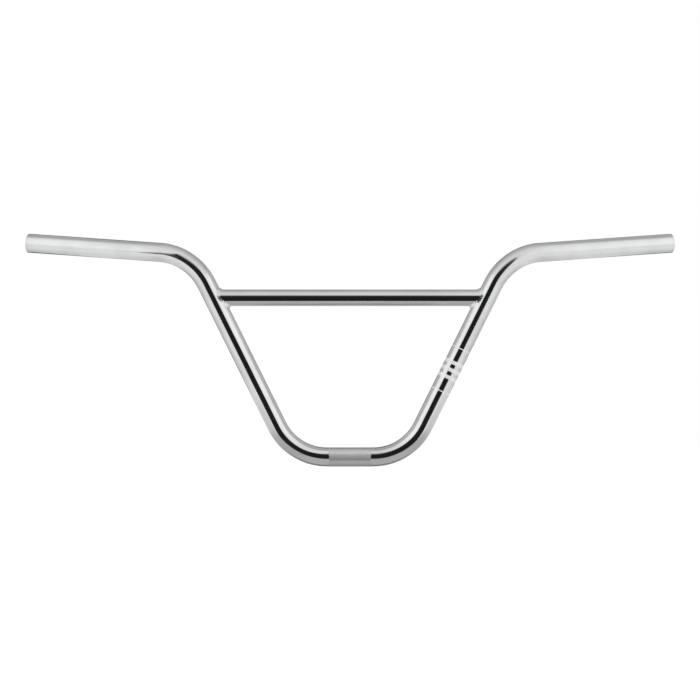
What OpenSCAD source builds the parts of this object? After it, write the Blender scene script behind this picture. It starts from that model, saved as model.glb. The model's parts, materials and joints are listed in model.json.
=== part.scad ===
// A steel handlebar for a stunt bicycle: one bent main tube, a crossbar coped to its legs
// and a rippled weld round each joint.
// The origin is the middle of the clamp, with X to the rider's left, Y to the rear and Z up.

/* [Main tube] */
// Outside diameter of the main tube
tube_d = 22.2; // [20:0.1:26]
// Wall of the main tube
tube_wall = 1.2; // [0.8:0.1:2.5]
// Width over both bar ends
overall_w = 762; // [660:1:860]
// Height of the upper bends' corners above the clamp's axis
corner_rise = 235; // [180:1:300]
// Angle of the legs above the clamp's axis
leg_angle = 63.6; // [55:0.1:75]
// Centreline radius of the lower bends
lower_bend_r = 64; // [50:1:80]
// Centreline radius of the upper bends
upper_bend_r = 67; // [50:1:80]

/* [Grips] */
// Angle at which the grips sweep back, seen from above
backsweep = 12; // [0:0.5:20]
// Angle at which the grips rise
upsweep = 4.3; // [0:0.1:10]
// Chamfer round the outside of each bar end
end_chamfer = 0.5; // [0.1:0.05:0.6]
// Chamfer round the mouth of each bar end
mouth_chamfer = 0.2; // [0.05:0.05:0.3]

/* [Clamp] */
// Straight length in the middle, where the stem grips the bar
clamp_l = 54; // [45:1:90]
// Plain tube between the knurled band and the bend on either side
knurl_margin = 2.5; // [1:0.5:15]
// Height of the knurled band above the tube
knurl_h = 0.05; // [0.02:0.01:0.1]

/* [Crossbar] */
// Outside diameter of the crossbar
crossbar_d = 19.05; // [15:0.05:19.5]
// Wall of the crossbar
crossbar_wall = 0.9; // [0.7:0.1:2]
// Straight leg left between the crossbar's weld and the upper bend
crossbar_gap = 8.8; // [2:0.1:40]
// Hole in each leg that lets the crossbar breathe while it is welded and plated
vent_d = 5; // [3:0.5:8]

/* [Welds] */
// Distance from the root of the joint to the toes of the weld
weld_leg = 3.4; // [2.5:0.1:4.5]
// Height of the weld's middle above a flat fillet
weld_crown = 0.2; // [0.1:0.05:0.6]
// Ripples round each joint
ripples = 28; // [16:1:40]
// Height of the ripples
ripple_h = 0.25; // [0.1:0.05:0.5]

/* [Hidden] */
$fn = 96;
// Length by which a tool passes the surface that it cuts
over = 1;
// Bending draws the tube in by this much, and each straight laps over its bend by this angle
bend_draw = 0.05;
bend_lap = 0.2;
// Depth to which the weld runs under the surface at its toes and at its root
toe_depth = 0.3;
root_depth = 1.5;
// Steps in one ripple
ripple_steps = 4;

tube_r = tube_d / 2;
bore_r = tube_r - tube_wall;
crossbar_r = crossbar_d / 2;

// Directions of the right leg, of its inner side and of the right grip, and the turn between them
leg_dir = [cos(leg_angle), 0, sin(leg_angle)];
leg_in_dir = [-sin(leg_angle), 0, cos(leg_angle)];
grip_dir = [cos(upsweep) * cos(backsweep), cos(upsweep) * sin(backsweep), sin(upsweep)];
upper_angle = acos(leg_dir * grip_dir);
upper_roll = atan2(-grip_dir.y, grip_dir * leg_in_dir);

// Corners of the path and the straights that the bends leave between them
lower_tangent = lower_bend_r * tan(leg_angle / 2);
upper_tangent = upper_bend_r * tan(upper_angle / 2);
lower_corner = clamp_l / 2 + lower_tangent;
upper_corner = lower_corner + corner_rise / tan(leg_angle);
leg_l = corner_rise / sin(leg_angle) - lower_tangent - upper_tangent;
end_face_reach = (tube_r - end_chamfer) * sqrt(1 - grip_dir.x ^ 2);
grip_l = (overall_w / 2 - end_face_reach - upper_corner) / grip_dir.x - upper_tangent;

// Height of the crossbar's axis, and the distance of the legs' axes from the middle there
crossbar_top_along = lower_tangent + leg_l - crossbar_gap - weld_leg;
crossbar_rise = crossbar_top_along * leg_dir.z + tube_r * leg_in_dir.z - crossbar_r;
crossbar_reach = lower_corner + crossbar_rise / tan(leg_angle);

// The path of the tube runs along Z of its own frame, and each bend turns it towards X.
module from_clamp() rotate([0, 90, 0]) rotate([0, 0, 180]) children();
module ahead(length) translate([0, 0, length]) children();
module off_axis(bend_r) translate([bend_r, 0, 0]) children();
module turned(bend_r, angle) off_axis(bend_r) rotate([0, angle, 0]) off_axis(-bend_r) children();
module to_leg() from_clamp() ahead(clamp_l / 2) turned(lower_bend_r, leg_angle) children();
module to_upper_bend() to_leg() ahead(leg_l) rotate([0, 0, upper_roll]) children();
module to_grip() to_upper_bend() turned(upper_bend_r, upper_angle) children();
module to_crossbar() translate([0, 0, crossbar_rise]) rotate([0, 90, 0]) children();
module both_sides() {
    children();
    mirror([1, 0, 0]) children();
}

module bend(bend_r, angle, r) {
    off_axis(bend_r) rotate([90, 0, 180])
        rotate_extrude(angle = angle + 2 * bend_lap, start = -bend_lap)
            translate([bend_r, 0]) circle(r - bend_draw);
}

// A round bar of radius r along the right half of the path, longer by past at the bar end
module half_path(r, past = 0) {
    from_clamp() cylinder(h = clamp_l / 2, r = r);
    from_clamp() ahead(clamp_l / 2) bend(lower_bend_r, leg_angle, r);
    to_leg() cylinder(h = leg_l, r = r);
    to_upper_bend() bend(upper_bend_r, upper_angle, r);
    to_grip() cylinder(h = grip_l + past, r = r);
}

module end_chamfer_cuts() {
    ahead(grip_l - end_chamfer) rotate_extrude()
        polygon([[tube_r, 0],
                 [tube_r + over, 0],
                 [tube_r + over, end_chamfer + over],
                 [tube_r - end_chamfer - over, end_chamfer + over]]);
    ahead(grip_l - mouth_chamfer - over)
        cylinder(h = mouth_chamfer + 2 * over, r1 = bore_r - over, r2 = bore_r + mouth_chamfer + over);
}

// From inside the leg's bore through the wall that the crossbar covers
module vent() {
    mirror([0, 0, 1]) cylinder(h = tube_r / sin(leg_angle) + over, d = vent_d);
}

module main_tube() {
    color("silver")
    difference() {
        union() {
            both_sides() half_path(tube_r);
            rotate([0, 90, 0]) cylinder(h = clamp_l - 2 * knurl_margin, r = tube_r + knurl_h, center = true);
        }
        both_sides() {
            half_path(bore_r, over);
            to_grip() end_chamfer_cuts();
            to_crossbar() ahead(crossbar_reach) vent();
        }
    }
}

module leg_outside() to_leg() cylinder(h = leg_l, r = tube_r);

module crossbar() {
    color("gainsboro")
    difference() {
        to_crossbar() cylinder(h = 2 * crossbar_reach, r = crossbar_r, center = true);
        to_crossbar() cylinder(h = 2 * crossbar_reach + over, r = crossbar_r - crossbar_wall, center = true);
        both_sides() leg_outside();
    }
}

// The root is where the two outsides meet, taken at an angle round the crossbar from its rear.
function unit(v) = v / norm(v);
function root_y(a) = crossbar_r * cos(a);
function root_z(a) = crossbar_rise + crossbar_r * sin(a);
function root_depth_in_leg(a) = sqrt(tube_r ^ 2 - root_y(a) ^ 2);
function root(a) = [lower_corner + root_z(a) / tan(leg_angle) - root_depth_in_leg(a) / sin(leg_angle),
                    root_y(a), root_z(a)];
function crossbar_normal(a) = [0, cos(a), sin(a)];
function leg_normal(a) = (root_depth_in_leg(a) * leg_in_dir + [0, root_y(a), 0]) / tube_r;
function outward(a) = unit(crossbar_normal(a) + leg_normal(a));

// The root unrolled from the leg, as distances along it and round it from the middle of the joint
leg_foot = [lower_corner, 0, 0];
joint_along = (root(0) - leg_foot) * leg_dir;
function unrolled(a) = [(root(a) - leg_foot) * leg_dir - joint_along, tube_r * asin(root_y(a) / tube_r) * PI / 180];
function on_leg(p, depth) =
    let (turn = p.y / tube_r * 180 / PI)
    leg_foot + leg_dir * (joint_along + p.x) + (tube_r - depth) * (leg_in_dir * cos(turn) + [0, sin(turn), 0]);
function leg_toe(a) = on_leg(unrolled(a) + weld_leg * unit(unrolled(a)), toe_depth);
function crossbar_toe(a) = root(a) - [weld_leg, 0, 0] - toe_depth * crossbar_normal(a);

// Section of the weld: its face from toe to toe, and a point under the root
function weld_face(a, h) =
    [for (t = [0 : 0.25 : 1]) crossbar_toe(a) * (1 - t) + leg_toe(a) * t + 4 * t * (1 - t) * h * outward(a)];
function weld_section(a, h) = concat(weld_face(a, h), [root(a) - root_depth * outward(a)]);

module weld_bead() {
    rings = ripples * ripple_steps;
    sections = [for (i = [0 : rings - 1])
        weld_section(360 * i / rings, weld_crown + ripple_h * abs(sin(180 * i / ripple_steps)))];
    n = len(sections[0]);
    faces = [for (i = [0 : rings - 1]) for (j = [0 : n - 1])
        let (here = i * n, next = (i + 1) % rings * n, k = (j + 1) % n)
        each [[here + j, here + k, next + k], [here + j, next + k, next + j]]];
    color("lightgray")
    difference() {
        polyhedron([for (s = sections) each s], faces, convexity = 6);
        leg_outside();
        to_crossbar() cylinder(h = crossbar_reach, r = crossbar_r);
    }
}

module weld_bead_right() weld_bead();
module weld_bead_left() mirror([1, 0, 0]) weld_bead();

main_tube();
crossbar();
weld_bead_left();
weld_bead_right();
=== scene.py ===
"""Looks of a chromed stunt-bicycle handlebar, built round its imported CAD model.

Lengths are in metres. X runs along the clamp zone, Y to the rear and Z up.
"""

import json
from math import asin, atan2, cos, pi, radians, sin, sqrt, tan

import bmesh
import bpy
from bpy.props import FloatProperty, FloatVectorProperty, IntProperty, PointerProperty
from mathutils import Matrix, Vector

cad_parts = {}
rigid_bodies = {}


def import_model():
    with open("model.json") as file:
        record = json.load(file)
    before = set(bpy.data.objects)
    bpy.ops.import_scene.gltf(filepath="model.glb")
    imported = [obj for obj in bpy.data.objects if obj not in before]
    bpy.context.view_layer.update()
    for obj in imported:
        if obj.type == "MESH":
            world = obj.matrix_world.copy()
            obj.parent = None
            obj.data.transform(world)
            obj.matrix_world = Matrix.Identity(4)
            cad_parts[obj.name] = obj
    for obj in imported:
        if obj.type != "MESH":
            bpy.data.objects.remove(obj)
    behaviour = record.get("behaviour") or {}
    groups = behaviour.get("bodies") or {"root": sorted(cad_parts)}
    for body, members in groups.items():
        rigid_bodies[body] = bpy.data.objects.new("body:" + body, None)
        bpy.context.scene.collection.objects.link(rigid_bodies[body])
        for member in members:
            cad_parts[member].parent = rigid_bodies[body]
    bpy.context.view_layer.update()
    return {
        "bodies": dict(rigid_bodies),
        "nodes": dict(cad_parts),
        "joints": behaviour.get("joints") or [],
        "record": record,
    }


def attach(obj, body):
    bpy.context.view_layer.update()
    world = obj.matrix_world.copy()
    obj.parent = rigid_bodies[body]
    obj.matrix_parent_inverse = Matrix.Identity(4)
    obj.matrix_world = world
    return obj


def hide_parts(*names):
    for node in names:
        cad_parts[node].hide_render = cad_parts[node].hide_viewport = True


bl_info = {
    "name": "Chromed handlebar",
    "version": (1, 0, 0),
    "blender": (4, 5, 0),
    "location": "3D View > Sidebar > Handlebar",
    "description": "Builds a bent and welded bicycle handlebar with a knurled clamp zone",
    "category": "Object",
}

BODY = "root"
SHARP = radians(35)
PLATED, KNURLED, BARE = range(3)
HAZE_SCALE, GRAIN_SCALE = 38, 1400
POLISH_MARKS = {"strength": 0.02, "distance": 0.000004}

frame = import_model()


def length(name, description, default, least=0.0, most=3.0):
    return FloatProperty(name=name, description=description, default=default, min=least, max=most,
                         precision=5, subtype="DISTANCE", unit="LENGTH")


def angle(name, description, degrees):
    return FloatProperty(name=name, description=description, default=radians(degrees),
                         subtype="ANGLE", unit="ROTATION")


def share(name, description, default):
    return FloatProperty(name=name, description=description, default=default, min=0, max=1,
                         precision=3, subtype="FACTOR")


def colour(name, description, default):
    return FloatVectorProperty(name=name, description=description, default=default, size=3, min=0,
                               max=1, subtype="COLOR")


def count(name, description, default, least=1):
    return IntProperty(name=name, description=description, default=default, min=least)


class TubeSizes(bpy.types.PropertyGroup):
    """Sizes of the bent main tube."""

    diameter: length("Diameter", "Outside diameter of the tube", 0.0222)
    wall: length("Wall", "Wall of the tube", 0.0012)
    width: length("Width", "Width over both bar ends", 0.762)
    rise: length("Rise", "Height of the upper bends' corners above the clamp", 0.235)
    leg_angle: angle("Leg angle", "Angle of the legs above the clamp's axis", 63.6)
    lower_bend: length("Lower bend", "Centreline radius of the lower bends", 0.064)
    upper_bend: length("Upper bend", "Centreline radius of the upper bends", 0.067)
    backsweep: angle("Backsweep", "Angle at which the grips sweep back", 12)
    upsweep: angle("Upsweep", "Angle at which the grips rise", 4.3)
    clamp: length("Clamp", "Straight length that the stem grips", 0.054)
    end_round: length("End rounding", "Rounding round the outside of each bar end", 0.0009)
    mouth_round: length("Mouth rounding", "Rounding round the mouth of each bar end", 0.0002)
    round_steps: count("Rounding steps", "Steps in both roundings of a bar end", 4)
    facets: count("Facets", "Facets round the tube, four to each diamond of the knurl", 160, 16)
    bend_steps: count("Bend steps", "Steps in each bend", 40)


class KnurlSizes(bpy.types.PropertyGroup):
    """Sizes of the knurled band."""

    band: length("Band", "Length of the knurled band", 0.049)
    rows: count("Rows", "Rows of the knurl's grid in half the band, four to each diamond", 56)
    peak: length("Peak", "Height of the knurl's points above the tube", 0.00009)
    groove: length("Groove", "Depth of the knurl's grooves", 0.00006)


class CrossbarSizes(bpy.types.PropertyGroup):
    """Sizes of the crossbar."""

    diameter: length("Diameter", "Outside diameter of the crossbar", 0.01905)
    wall: length("Wall", "Wall of the crossbar", 0.0009)
    gap: length("Gap", "Straight leg between the weld and the upper bend", 0.0088)
    facets: count("Facets", "Facets round the crossbar", 112, 16)


class WeldSizes(bpy.types.PropertyGroup):
    """Sizes of the weld round each joint."""

    leg: length("Leg", "Distance from the root to the toes", 0.0034)
    crown: length("Crown", "Height of the weld's middle above a flat fillet, below 0 if hollow",
                  -0.0001, least=-0.001)
    ripples: count("Ripples", "Ripples round each joint", 28, 6)
    ripple: length("Ripple", "Height of the ripples", 0.0002)
    drag: share("Drag", "Share of a ripple by which its middle trails its toes", 0.55)
    toe_depth: length("Toe depth", "Depth of the toes under the tubes' surface", 0.0003)
    root_depth: length("Root depth", "Depth of the weld under the root", 0.0015)


class FinishLooks(bpy.types.PropertyGroup):
    """Colours and finishes."""

    chrome: colour("Chrome", "Colour of the polished chrome", (0.86, 0.865, 0.87))
    haze: colour("Haze", "Colour of the chrome where it is slightly hazed", (0.79, 0.795, 0.80))
    knurl: colour("Knurl", "Colour of the knurl's points", (0.96, 0.96, 0.97))
    groove: colour("Groove", "Colour of the knurl's grooves", (0.62, 0.62, 0.63))
    steel: colour("Bare steel", "Colour of the unplated steel in the bore", (0.36, 0.35, 0.34))
    ring: colour("Ring", "Colour of the satin rings", (0.78, 0.78, 0.79))
    gloss: share("Gloss", "Roughness of the polished chrome", 0.07)
    satin: share("Satin", "Roughness of the satin rings", 0.42)
    matte: share("Matte", "Roughness of the knurl", 0.16)


class StudioLooks(bpy.types.PropertyGroup):
    """Camera, floor and light."""

    lens: FloatProperty(name="Lens", description="Focal length of the camera", default=132.9,
                        subtype="DISTANCE_CAMERA")
    distance: length("Distance", "Distance of the camera in front of the clamp", 3.0)
    height: length("Height", "Height of the camera above the clamp", 0.12425)
    floor_drop: length("Floor", "Depth of the floor below the clamp", 0.30)
    floor_span: length("Floor span", "Width of the floor", 16.0, most=30.0)
    table_drop: length("Table", "Depth of the grey table top below the clamp", 0.094)
    table_behind: length("Table behind", "Distance of the table's middle behind the clamp", 0.3)
    table_span: length("Table span", "Width of the grey table top", 1.2)
    ceiling_height: length("Ceiling", "Height of the soft overhead light above the clamp", 0.6)
    ceiling_span: length("Ceiling span", "Width of the soft overhead light", 2.4)
    flag_distance: length("Flags", "Distance of the black flags in front and behind", 3.0)
    flag_span: length("Flag span", "Width of the sheets that bear the flags", 8.0, most=30.0)
    sun: FloatProperty(name="Sun", description="Strength of the soft sun", default=1.8)
    sun_spread: angle("Sun spread", "Width of the soft sun", 50)
    sun_forward: angle("Sun forward", "Angle at which the sun leans to the front", 25)
    sun_aside: angle("Sun aside", "Angle at which the sun leans to the right", 12)


class HandlebarSettings(bpy.types.PropertyGroup):
    """All settings of the handlebar."""

    tube: PointerProperty(type=TubeSizes)
    knurl: PointerProperty(type=KnurlSizes)
    crossbar: PointerProperty(type=CrossbarSizes)
    weld: PointerProperty(type=WeldSizes)
    finish: PointerProperty(type=FinishLooks)
    studio: PointerProperty(type=StudioLooks)


class TubePath:
    """The right half of the tube's centreline. Each frame has Z ahead and X into the next bend."""

    def __init__(self, tube):
        self.radius = tube.diameter / 2
        slope = tube.leg_angle
        self.leg_dir = Vector((cos(slope), 0, sin(slope)))
        self.leg_in = Vector((-sin(slope), 0, cos(slope)))
        self.grip_dir = Vector((cos(tube.upsweep) * cos(tube.backsweep),
                                cos(tube.upsweep) * sin(tube.backsweep), sin(tube.upsweep)))
        self.upper_angle = self.leg_dir.angle(self.grip_dir)
        roll = atan2(-self.grip_dir.y, self.grip_dir.dot(self.leg_in))
        lower_tangent = tube.lower_bend * tan(slope / 2)
        upper_tangent = tube.upper_bend * tan(self.upper_angle / 2)
        self.corner = tube.clamp / 2 + lower_tangent
        upper_corner = self.corner + tube.rise / tan(slope)
        self.lower_tangent = lower_tangent
        self.leg = tube.rise / sin(slope) - lower_tangent - upper_tangent
        reach = (self.radius - tube.end_round) * sqrt(1 - self.grip_dir.x ** 2)
        self.grip = (tube.width / 2 - reach - upper_corner) / self.grip_dir.x - upper_tangent

        self.clamp_frame = Matrix(((0, 0, 1, 0), (0, -1, 0, 0), (1, 0, 0, 0), (0, 0, 0, 1)))
        self.lower_bend_frame = ahead(self.clamp_frame, tube.clamp / 2)
        self.leg_frame = turned(self.lower_bend_frame, tube.lower_bend, slope)
        self.upper_bend_frame = ahead(self.leg_frame, self.leg) @ Matrix.Rotation(roll, 4, "Z")
        self.grip_frame = turned(self.upper_bend_frame, tube.upper_bend, self.upper_angle)


def ahead(frame, distance):
    return frame @ Matrix.Translation((0, 0, distance))


def turned(frame, bend_radius, turn):
    """The frame at the far end of a bend."""
    offset = Matrix.Translation((bend_radius, 0, 0))
    return frame @ offset @ Matrix.Rotation(turn, 4, "Y") @ offset.inverted()


class Joint:
    """Where the crossbar meets the right leg. Angles run round the crossbar from its rear."""

    def __init__(self, settings):
        tube, bar, weld = settings.tube, settings.crossbar, settings.weld
        self.path = path = TubePath(tube)
        self.weld = weld
        self.slope = tube.leg_angle
        self.leg_r, self.bar_r = tube.diameter / 2, bar.diameter / 2
        top_along = path.lower_tangent + path.leg - bar.gap - weld.leg
        self.height = top_along * path.leg_dir.z + self.leg_r * path.leg_in.z - self.bar_r
        self.foot = Vector((path.corner, 0, 0))
        self.start = (self.root(0) - self.foot).dot(path.leg_dir)

    def root(self, around, radius=None):
        """The point of the root at that angle, or the same on a circle inside the crossbar."""
        radius = radius or self.bar_r
        y, z = radius * cos(around), self.height + radius * sin(around)
        depth = sqrt(self.leg_r ** 2 - y * y)
        return Vector((self.path.corner + z / tan(self.slope) - depth / sin(self.slope), y, z))

    def outward(self, around):
        """Away from both tubes, halfway between the directions that they face."""
        y = self.bar_r * cos(around)
        depth = sqrt(self.leg_r ** 2 - y * y)
        leg_normal = (depth * self.path.leg_in + Vector((0, y, 0))) / self.leg_r
        return (Vector((0, cos(around), sin(around))) + leg_normal).normalized()

    def unrolled(self, around):
        """The root as distances along the leg and round it."""
        root = self.root(around)
        return Vector(((root - self.foot).dot(self.path.leg_dir) - self.start,
                       self.leg_r * asin(root.y / self.leg_r)))

    def leg_toe(self, around):
        """The weld's edge on the leg, a little under its surface."""
        flat = self.unrolled(around)
        flat += self.weld.leg * flat.normalized()
        turn = flat.y / self.leg_r
        return (self.foot + self.path.leg_dir * (self.start + flat.x)
                + (self.leg_r - self.weld.toe_depth)
                * (self.path.leg_in * cos(turn) + Vector((0, sin(turn), 0))))

    def bar_toe(self, around):
        """The weld's edge on the crossbar, a little under its surface."""
        normal = Vector((0, cos(around), sin(around)))
        return self.root(around) - Vector((self.weld.leg, 0, 0)) - self.weld.toe_depth * normal


def ring_edges(parts, verts):
    """The edges among those parts that lie between those vertices."""
    return [part for part in parts if isinstance(part, bmesh.types.BMEdge)
            and all(vert in verts for vert in part.verts)]


def ring_verts(ring):
    return {vert for edge in ring for vert in edge.verts}


def start_ring(mesh, frame, radius, facets):
    """Makes a circle across a frame's Z and returns its edges."""
    verts = bmesh.ops.create_circle(mesh, segments=facets, radius=radius, matrix=frame)["verts"]
    return list(dict.fromkeys(edge for vert in verts for edge in vert.link_edges))


def run_straight(mesh, ring, direction, distance):
    """Extrudes a ring straight ahead and returns the new ring."""
    grown = bmesh.ops.extrude_edge_only(mesh, edges=ring)["geom"]
    verts = [part for part in grown if isinstance(part, bmesh.types.BMVert)]
    bmesh.ops.translate(mesh, verts=verts, vec=direction * distance)
    return ring_edges(grown, set(verts))


def run_bend(mesh, ring, frame, bend_radius, turn, steps):
    """Spins a ring round a bend and returns the new ring."""
    spun = bmesh.ops.spin(mesh, geom=ring, cent=frame @ Vector((bend_radius, 0, 0)),
                          axis=frame.col[1].to_3d(), dvec=(0, 0, 0), angle=turn, steps=steps,
                          use_merge=False, use_normal_flip=False, use_duplicate=False)
    return [part for part in spun["geom_last"] if isinstance(part, bmesh.types.BMEdge)]


def run_half_path(mesh, ring, path, tube, steps, along):
    """Extends a ring to the bar end. It starts at a distance along the clamp from the middle."""
    ring = run_straight(mesh, ring, path.clamp_frame.col[2].to_3d(), tube.clamp / 2 - along)
    ring = run_bend(mesh, ring, path.lower_bend_frame, tube.lower_bend, tube.leg_angle, steps)
    ring = run_straight(mesh, ring, path.leg_dir, path.leg)
    ring = run_bend(mesh, ring, path.upper_bend_frame, tube.upper_bend, path.upper_angle, steps)
    return run_straight(mesh, ring, path.grip_dir, path.grip)


def raise_diamonds(mesh, tube, knurl):
    """Presses two families of crossing grooves into the band's grid, which leaves diamonds."""
    radius, pitch = tube.diameter / 2, knurl.band / 2 / knurl.rows
    cells, half = 4, 2
    low = []
    for vert in mesh.verts:
        row = round(vert.co.x / pitch)
        if row >= knurl.rows:
            continue
        place = round(atan2(vert.co.z, vert.co.y) / (2 * pi) * tube.facets)
        from_groove = min(abs((row + turn + half) % cells - half) for turn in (place, -place))
        depth = (knurl.peak + knurl.groove) * (1 - from_groove / half)
        stretch = 1 + (knurl.peak - depth) / radius
        vert.co = Vector((vert.co.x, vert.co.y * stretch, vert.co.z * stretch))
        if from_groove == 0:
            low.append(vert)
    bmesh.ops.connect_verts(mesh, verts=low)


def set_material(mesh, done, index):
    """Gives every face that isn't done a material, and returns all faces as done."""
    for face in set(mesh.faces) - done:
        face.material_index = index
    return set(mesh.faces)


def turn_in(mesh, ring, path, tube):
    """Brings the outside in to the bore across the bar end, and returns the inner ring."""
    ring = run_straight(mesh, ring, path.grip_dir, 0)
    middle = path.grip_frame @ Vector((0, 0, path.grip))
    for vert in ring_verts(ring):
        vert.co = middle.lerp(vert.co, 1 - tube.wall / path.radius)
    return ring


def join_rings(mesh, rings):
    """Merges two rings that lie in one place, and returns the ring that is left."""
    verts = ring_verts(rings)
    in_order = [vert for vert in mesh.verts if vert in verts]
    bmesh.ops.remove_doubles(mesh, verts=in_order, dist=1e-5)
    bmesh.ops.recalc_face_normals(mesh, faces=mesh.faces[:])
    return ring_edges(mesh.edges, verts)


def add_left_half(mesh):
    """Mirrors the right half and joins both in the middle."""
    bmesh.ops.mirror(mesh, geom=mesh.verts[:] + mesh.edges[:] + mesh.faces[:],
                     matrix=Matrix(), merge_dist=1e-6, axis="X")


def main_tube_mesh(settings):
    """The tube's outside with its knurled band, its rounded ends and its bore."""
    tube, knurl, path = settings.tube, settings.knurl, TubePath(settings.tube)
    mesh = bmesh.new()
    ring = start_ring(mesh, path.clamp_frame, path.radius, tube.facets)
    for _ in range(knurl.rows):
        ring = run_straight(mesh, ring, Vector((1, 0, 0)), knurl.band / 2 / knurl.rows)
    raise_diamonds(mesh, tube, knurl)
    done = set_material(mesh, set(), KNURLED)
    outside = run_half_path(mesh, ring, path, tube, tube.bend_steps, knurl.band / 2)
    lip = turn_in(mesh, outside, path, tube)
    done = set_material(mesh, done, PLATED)
    ring = start_ring(mesh, path.clamp_frame, path.radius - tube.wall, tube.facets)
    mouth = run_half_path(mesh, ring, path, tube, tube.bend_steps // 2, 0)
    set_material(mesh, done, BARE)
    mouth = join_rings(mesh, lip + mouth)
    for edges, offset in ((outside, tube.end_round), (mouth, tube.mouth_round)):
        bmesh.ops.bevel(mesh, geom=edges, offset=offset, segments=tube.round_steps,
                        profile=0.5, affect="EDGES", material=-1)
    add_left_half(mesh)
    return mesh


def crossbar_mesh(settings):
    """The crossbar with its bore, its ends shaped to sit on the legs."""
    joint, bar = Joint(settings), settings.crossbar
    mesh = bmesh.new()
    level = Matrix.Translation((0, 0, joint.height)) @ Matrix.Rotation(pi / 2, 4, "Y")
    ends = []
    for radius in (joint.bar_r, joint.bar_r - bar.wall):
        ring = start_ring(mesh, level, radius, bar.facets)
        ends += run_straight(mesh, ring, Vector((1, 0, 0)), joint.root(0).x)
    for vert in ring_verts(ends):
        y, z = vert.co.y, vert.co.z - joint.height
        vert.co = joint.root(atan2(z, y), Vector((y, z)).length)
    bmesh.ops.bridge_loops(mesh, edges=ends)
    add_left_half(mesh)
    return mesh


def weld_mesh(settings, side):
    """One weld: a grid rolled round the root, with overlapping ripples on its face."""
    joint, weld = Joint(settings), settings.weld
    face_rows, under_rows, ripple_steps, toe_fade = 14, 4, 10, 2.5
    columns, rows = weld.ripples * ripple_steps, face_rows + under_rows
    mesh = bmesh.new()
    bmesh.ops.create_grid(mesh, x_segments=columns, y_segments=rows, size=0.5)
    for vert in mesh.verts:
        column, row = round((vert.co.x + 0.5) * columns), round((vert.co.y + 0.5) * rows)
        around = 2 * pi * (column % columns) / columns
        bar_toe, leg_toe = joint.bar_toe(around), joint.leg_toe(around)
        outward = joint.outward(around)
        if row <= face_rows:
            across = row / face_rows
            bulge = 4 * across * (1 - across)
            phase = (column % columns) / ripple_steps - weld.drag * bulge
            fade = min(1, toe_fade * bulge)
            lift = weld.crown * bulge + weld.ripple * sqrt(1 - phase % 1) * fade
            vert.co = bar_toe.lerp(leg_toe, across) + lift * outward
        else:
            under = joint.root(around) - weld.root_depth * outward
            back = (row - face_rows) / under_rows
            vert.co = (leg_toe.lerp(under, 2 * back) if back <= 0.5
                       else under.lerp(bar_toe, 2 * back - 1))
    bmesh.ops.remove_doubles(mesh, verts=mesh.verts[:], dist=1e-7)
    bmesh.ops.scale(mesh, verts=mesh.verts[:], vec=(side, 1, 1))
    return mesh


def settle_order(mesh):
    """Sorts edges and faces by their vertices, because extruding adds them in no fixed order."""
    mesh.verts.index_update()
    for parts in (mesh.edges, mesh.faces):
        order = sorted(parts, key=lambda part: sorted(vert.index for vert in part.verts))
        rank = {part: place for place, part in enumerate(order)}
        parts.sort(key=rank.get)


def finish_piece(mesh, name, nodes, materials, faceted=()):
    """Turns a bmesh into a piece that rides on the part and stands for its CAD nodes."""
    bmesh.ops.recalc_face_normals(mesh, faces=mesh.faces[:])
    settle_order(mesh)
    for face in mesh.faces:
        face.smooth = face.material_index not in faceted
    for edge in mesh.edges:
        edge.smooth = not (len(edge.link_faces) == 2 and edge.calc_face_angle(0) > SHARP)
    data = bpy.data.meshes.new(name)
    mesh.to_mesh(data)
    mesh.free()
    for made in materials:
        data.materials.append(made)
    piece = bpy.data.objects.new(name, data)
    bpy.context.scene.collection.objects.link(piece)
    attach(piece, BODY)
    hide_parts(*nodes)


class Reading:
    """A value that changes over a surface. Arithmetic on it adds Math nodes."""

    def __init__(self, shader, socket):
        self.shader, self.socket = shader, socket

    def __add__(self, other):
        return self.shader.sum("ADD", self, other)

    def __sub__(self, other):
        return self.shader.sum("SUBTRACT", self, other)

    def __mul__(self, other):
        return self.shader.sum("MULTIPLY", self, other)

    def __radd__(self, other):
        return self.shader.sum("ADD", other, self)

    def __rsub__(self, other):
        return self.shader.sum("SUBTRACT", other, self)

    def __rmul__(self, other):
        return self.shader.sum("MULTIPLY", other, self)

    def __abs__(self):
        return self.shader.sum("ABSOLUTE", self)


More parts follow.
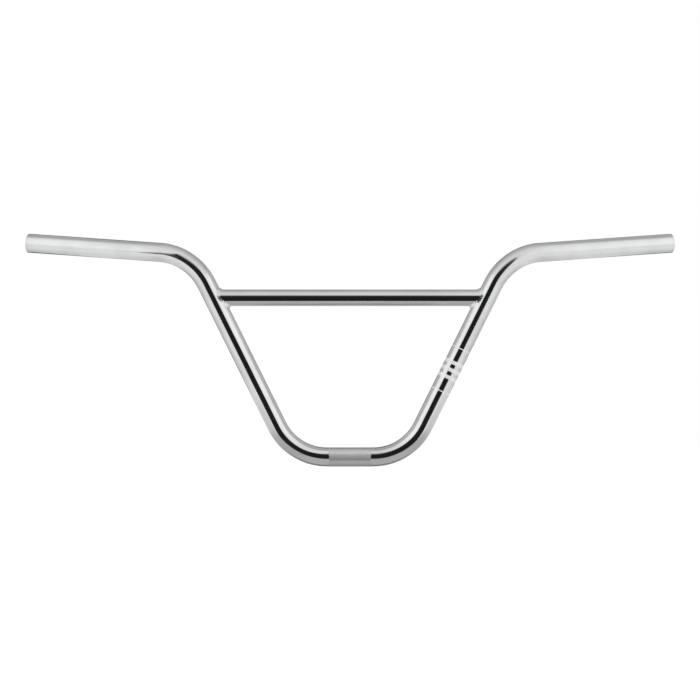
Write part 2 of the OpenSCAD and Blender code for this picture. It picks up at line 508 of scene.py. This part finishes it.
class Shader:
    """A node tree that is built by calls. Each call adds one node."""

    def __init__(self, owner):
        owner.use_nodes = True
        self.tree = owner.node_tree
        self.tree.nodes.clear()

    def node(self, kind, settings=None, inputs=None, output=0):
        """Adds a node, gives it its settings first and then its sockets, by name or number."""
        node = self.tree.nodes.new("ShaderNode" + kind)
        for name, value in (settings or {}).items():
            setattr(node, name, value)
        for key, value in (inputs or {}).items():
            if isinstance(value, Reading):
                self.tree.links.new(value.socket, node.inputs[key])
            else:
                node.inputs[key].default_value = value
        return Reading(self, node.outputs[output]) if node.outputs else node

    def sum(self, operation, *values):
        return self.node("Math", {"operation": operation}, dict(enumerate(values)))

    def step(self, value, low, high):
        """0 below low and 1 above high, with a smooth rise between them."""
        return self.node("MapRange", {"interpolation_type": "SMOOTHSTEP"},
                         {"Value": value, "From Min": low, "From Max": high})

    def mix(self, factor, first, second):
        """A colour between two colours."""
        return self.node("Mix", {"data_type": "RGBA"},
                         {0: factor, 6: rgba(first), 7: rgba(second)}, 2)

    def grey(self, brightness):
        """A grey from black, at 0, to white, at 1."""
        if isinstance(brightness, Reading):
            return self.mix(brightness, (0, 0, 0), (1, 1, 1))
        return rgba((brightness, brightness, brightness))

    def place(self):
        """The place of a point in the shared frame, in metres."""
        return self.node("TexCoord", output=3)

    def axes(self, vector):
        """The X, Y and Z of a vector."""
        split = self.node("SeparateXYZ", inputs={0: vector}).socket.node
        return [Reading(self, socket) for socket in split.outputs]

    def noise(self, place, scale, detail=3.0):
        return self.node("TexNoise", inputs={"Vector": place, "Scale": scale, "Detail": detail})

    def along(self, place, direction):
        """Distance along a direction."""
        return self.node("VectorMath", {"operation": "DOT_PRODUCT"}, {0: place, 1: direction}, 1)

    def bump(self, height, strength, distance):
        return self.node("Bump", inputs={"Height": height, "Strength": strength,
                                         "Distance": distance})

    def surface(self, **inputs):
        """The metal's own shader, joined to the output."""
        named = {name.replace("_", " "): value for name, value in inputs.items()}
        metal = self.node("BsdfPrincipled", inputs=named)
        self.node("OutputMaterial", inputs={0: metal})


def rgba(value):
    return value if isinstance(value, Reading) else (*value, 1.0)


def material(name):
    made = bpy.data.materials.new(name)
    return made, Shader(made)


def polish(shader, looks):
    """What all metal surfaces share: their place, haze, roughness and faint unevenness."""
    haze_rough, grain_rough = 0.035, 0.02
    place = shader.place()
    haze = shader.step(shader.noise(place, HAZE_SCALE), 0.35, 0.75)
    grain = shader.noise(place, GRAIN_SCALE, 2.0)
    rough = looks.gloss + haze * haze_rough + grain * grain_rough
    return place, haze, rough, grain


def chrome_tone(shader, looks, haze):
    return shader.mix(haze, looks.chrome, looks.haze)


# The middle of each satin ring, as a distance up the leg from its lower corner, and half its width
RING_PLACES = ((0.0860, 0.0006), (0.1040, 0.0022), (0.1129, 0.0022), (0.1218, 0.0022),
               (0.1398, 0.0006))


def polished_tube(settings):
    """Polished chrome, with plain satin rings round the right leg."""
    looks, path = settings.finish, TubePath(settings.tube)
    blur, paint_share = 0.0001, 0.6
    made, shader = material("polished_tube")
    place, haze, rough, grain = polish(shader, looks)
    along = shader.along(place, path.leg_dir) - path.corner * path.leg_dir.x
    rings = 0
    for middle, half_width in RING_PLACES:
        rings += 1 - shader.step(abs(along - middle), half_width - blur, half_width + blur)
    rings *= shader.step(shader.axes(place)[0], 0.0, 0.01)
    tone = shader.mix(rings, chrome_tone(shader, looks, haze), looks.ring)
    shader.surface(Base_Color=tone, Metallic=1 - paint_share * rings,
                   Roughness=rough + rings * (looks.satin - looks.gloss),
                   Normal=shader.bump(grain, **POLISH_MARKS))
    return made


def knurled_band(settings):
    """Matte plated diamonds, darker in their grooves."""
    looks, tube, knurl = settings.finish, settings.tube, settings.knurl
    pale_share, groove_rough = 0.4, 0.15
    made, shader = material("knurled_band")
    place, _, rough, grain = polish(shader, looks)
    _, y, z = shader.axes(place)
    radius = shader.sum("SQRT", y * y + z * z)
    middle = tube.diameter / 2
    points = shader.step(radius, middle - knurl.groove, middle + knurl.peak * pale_share)
    shader.surface(Base_Color=shader.mix(points, looks.groove, looks.knurl), Metallic=1.0,
                   Roughness=rough + (looks.matte - looks.gloss) + (1 - points) * groove_rough,
                   Normal=shader.bump(grain, strength=0.12, distance=0.00005))
    return made


def bore_steel(settings):
    """Bare steel in the bore, plated for a short way in from the bar end."""
    looks, tube = settings.finish, settings.tube
    bare_from, plated_to, uneven, bare_rough, patch_scale = 0.034, 0.012, 0.012, 0.4, 90
    made, shader = material("bore_steel")
    place, _, rough, grain = polish(shader, looks)
    end = tube.width / 2
    reach = abs(shader.axes(place)[0]) + shader.noise(place, patch_scale) * uneven
    plated = shader.step(reach, end - bare_from, end - plated_to)
    shader.surface(Base_Color=shader.mix(plated, looks.steel, looks.haze), Metallic=1.0,
                   Roughness=rough + (1 - plated) * bare_rough,
                   Normal=shader.bump(grain, strength=0.2, distance=0.0001))
    return made


def polished_crossbar(settings):
    """Polished chrome with nothing on it."""
    looks = settings.finish
    made, shader = material("polished_crossbar")
    _, haze, rough, grain = polish(shader, looks)
    shader.surface(Base_Color=chrome_tone(shader, looks, haze), Metallic=1.0, Roughness=rough,
                   Normal=shader.bump(grain, **POLISH_MARKS))
    return made


def plated_weld(settings):
    """Chrome over a weld, a little rougher and unevenly pitted."""
    looks = settings.finish
    weld_rough, grain_share, pit_scale = 0.05, 0.4, 900
    made, shader = material("plated_weld")
    place, haze, rough, grain = polish(shader, looks)
    pits = shader.noise(place, pit_scale, 4.0) + grain * grain_share
    shader.surface(Base_Color=chrome_tone(shader, looks, haze), Metallic=1.0,
                   Roughness=rough + weld_rough,
                   Normal=shader.bump(pits, strength=0.25, distance=0.00006))
    return made


class HANDLEBAR_OT_main_tube(bpy.types.Operator):
    """Build the bent main tube with its knurled clamp zone"""

    bl_idname = "handlebar.main_tube"
    bl_label = "Main tube"

    def execute(self, context):
        settings = context.scene.handlebar
        materials = [polished_tube(settings), knurled_band(settings), bore_steel(settings)]
        finish_piece(main_tube_mesh(settings), "bent_main_tube", ["main_tube"],
                     materials, faceted={KNURLED})
        return {"FINISHED"}


class HANDLEBAR_OT_crossbar(bpy.types.Operator):
    """Build the crossbar between the legs"""

    bl_idname = "handlebar.crossbar"
    bl_label = "Crossbar"

    def execute(self, context):
        settings = context.scene.handlebar
        finish_piece(crossbar_mesh(settings), "coped_crossbar", ["crossbar"],
                     [polished_crossbar(settings)])
        return {"FINISHED"}


class HANDLEBAR_OT_welds(bpy.types.Operator):
    """Build the rippled weld round each joint"""

    bl_idname = "handlebar.welds"
    bl_label = "Welds"

    def execute(self, context):
        settings = context.scene.handlebar
        plating = plated_weld(settings)
        for name, side in (("left", -1), ("right", 1)):
            finish_piece(weld_mesh(settings, side), f"rippled_weld_{name}", [f"weld_bead_{name}"],
                         [plating])
        return {"FINISHED"}


def make_sheet(name, span, place, made):
    """A flat square of the stage."""
    mesh = bmesh.new()
    bmesh.ops.create_grid(mesh, x_segments=1, y_segments=1, size=span / 2, matrix=place)
    data = bpy.data.meshes.new(name)
    mesh.to_mesh(data)
    mesh.free()
    data.materials.append(made)
    sheet = bpy.data.objects.new(name, data)
    bpy.context.scene.collection.objects.link(sheet)
    return sheet


def make_card(name, span, place, made):
    """A sheet that only the metal sees."""
    card = make_sheet(name, span, place, made)
    card.visible_camera = card.visible_diffuse = card.visible_shadow = False
    card.visible_transmission = card.visible_volume_scatter = False


def pale_floor():
    """Plain white without gloss."""
    made, shader = material("pale_floor")
    paint = shader.node("BsdfDiffuse", inputs={"Color": shader.grey(1.0)})
    shader.node("OutputMaterial", inputs={0: paint})
    return made


def glowing(shader, brightness, mask):
    """Light of that brightness where the mask is 1, and nothing at all where it is 0."""
    glow = shader.node("Emission", inputs={"Color": shader.grey(brightness)})
    clear = shader.node("BsdfTransparent")
    mixed = shader.node("MixShader", inputs={0: mask, 1: clear, 2: glow})
    shader.node("OutputMaterial", inputs={0: mixed})


def black_flag():
    """Black cloth, cut to a point above and below."""
    middle, widest, half_width, taper, blur = -0.225, -0.8, 1.92, 0.455, 0.09
    made, shader = material("black_flag")
    x, _, z = shader.axes(shader.place())
    reach = abs(x - middle) + taper * abs(z - widest)
    glowing(shader, 0.012, 1 - shader.step(reach, half_width, half_width + blur))
    return made


def soft_ceiling():
    """A soft light overhead, brightest at its front and thinning to its edges."""
    front, rear = 0.78, 0.40
    made, shader = material("soft_ceiling")
    x, y, _ = shader.axes(shader.place())
    brightness = front - (front - rear) * shader.step(y, -0.4, 0.3)
    mask = (1 - shader.step(abs(x), 0.2, 0.42)) * (1 - shader.step(abs(y), 0.22, 1.1))
    glowing(shader, brightness, mask)
    return made


def grey_table():
    """A grey table top, paler at its sides and shaded under the clamp zone."""
    grey, pale, shaded, shade_middle = 0.45, 0.75, 0.17, 0.06
    made, shader = material("grey_table")
    x, y, _ = shader.axes(shader.place())
    # Painted shadow of the clamp zone on the table. The table glows at set greys rather than being
    # lit, so it takes no real shadow.
    shade = ((1 - shader.step(abs(y - shade_middle), 0.01, 0.06))
             * (1 - shader.step(abs(x), 0.06, 0.2)))
    sides = shader.step(abs(x), 0.2, 0.45)
    brightness = grey + (pale - grey) * sides - (grey - shaded) * shade
    mask = (1 - shader.step(abs(x), 0.4, 0.55)) * shader.step(y, -0.27, -0.25)
    glowing(shader, brightness, mask)
    return made


def light_world():
    """White to the camera. Metal sees a soft studio, brightest to the front and the sides."""
    front, front_side, rear, rear_side = 0.75, 0.99, 0.43, 0.49
    low_front, low_rear = 0.82, 0.60
    world = bpy.data.worlds.new("studio")
    bpy.context.scene.world = world
    shader = Shader(world)
    x, y, z = shader.axes(shader.node("TexCoord", output=0))
    aside = shader.step(abs(x), 0.15, 0.7)
    bright = front + (front_side - front) * aside
    dim = rear + (rear_side - rear) * aside
    upper = bright - (bright - dim) * shader.step(y + 0.05 * aside, -0.38, 0.22)
    lower = low_front - (low_front - low_rear) * shader.step(y, -0.5, 0.5)
    studio = lower + (upper - lower) * shader.step(z, -0.3, 0.1)
    camera_ray = shader.node("LightPath")
    brightness = studio * (1 - camera_ray) + camera_ray
    glow = shader.node("Background", inputs={"Color": shader.grey(brightness)})
    shader.node("OutputWorld", inputs={0: glow})


class HANDLEBAR_OT_stage(bpy.types.Operator):
    """Set up the floor, the light and the camera"""

    bl_idname = "handlebar.stage"
    bl_label = "Stage"

    def execute(self, context):
        scene = context.scene
        studio = scene.handlebar.studio
        shift, upright = Matrix.Translation, Matrix.Rotation(pi / 2, 4, "X")
        floor = make_sheet("floor", studio.floor_span, shift((0, 0, -studio.floor_drop)),
                           pale_floor())
        floor.visible_glossy = False
        make_card("table", studio.table_span,
                  shift((0, studio.table_behind, -studio.table_drop)), grey_table())
        make_card("ceiling", studio.ceiling_span, shift((0, 0, studio.ceiling_height)),
                  soft_ceiling())
        cloth, distance = black_flag(), studio.flag_distance
        for name, y in (("flag_front", -distance), ("flag_rear", distance)):
            make_card(name, studio.flag_span, shift((0, y, 0)) @ upright, cloth)
        light_world()
        sun = bpy.data.lights.new("soft_sun", "SUN")
        sun.energy, sun.angle = studio.sun, studio.sun_spread
        lamp = bpy.data.objects.new("soft_sun", sun)
        lamp.rotation_euler = (studio.sun_forward, studio.sun_aside, 0)
        lamp.visible_glossy = False
        scene.collection.objects.link(lamp)
        data = bpy.data.cameras.new("camera")
        data.lens = studio.lens
        camera = bpy.data.objects.new("camera", data)
        camera.location = (0, -studio.distance, studio.height)
        camera.rotation_euler = (pi / 2, 0, 0)
        scene.collection.objects.link(camera)
        scene.camera = camera
        scene.view_settings.view_transform = "Standard"
        return {"FINISHED"}


class HANDLEBAR_PT_panel(bpy.types.Panel):
    """Lists the handlebar's pieces and settings"""

    bl_idname = "HANDLEBAR_PT_panel"
    bl_label = "Handlebar"
    bl_space_type = "VIEW_3D"
    bl_region_type = "UI"
    bl_category = "Handlebar"

    def draw(self, context):
        settings = context.scene.handlebar
        for operator, groups in ((HANDLEBAR_OT_main_tube, (settings.tube, settings.knurl)),
                                 (HANDLEBAR_OT_crossbar, (settings.crossbar,)),
                                 (HANDLEBAR_OT_welds, (settings.weld, settings.finish)),
                                 (HANDLEBAR_OT_stage, (settings.studio,))):
            box = self.layout.box()
            box.operator(operator.bl_idname)
            for group in groups:
                for name in group.__annotations__:
                    box.prop(group, name)


CLASSES = (
    TubeSizes, KnurlSizes, CrossbarSizes, WeldSizes, FinishLooks, StudioLooks, HandlebarSettings,
    HANDLEBAR_OT_main_tube, HANDLEBAR_OT_crossbar, HANDLEBAR_OT_welds, HANDLEBAR_OT_stage,
    HANDLEBAR_PT_panel,
)


def register():
    for made in CLASSES:
        bpy.utils.register_class(made)
    bpy.types.Scene.handlebar = PointerProperty(type=HandlebarSettings)


def unregister():
    del bpy.types.Scene.handlebar
    for made in reversed(CLASSES):
        bpy.utils.unregister_class(made)


def main():
    register()
    bpy.ops.handlebar.main_tube()
    bpy.ops.handlebar.crossbar()
    bpy.ops.handlebar.welds()
    bpy.ops.handlebar.stage()


if __name__ == "__main__":
    main()
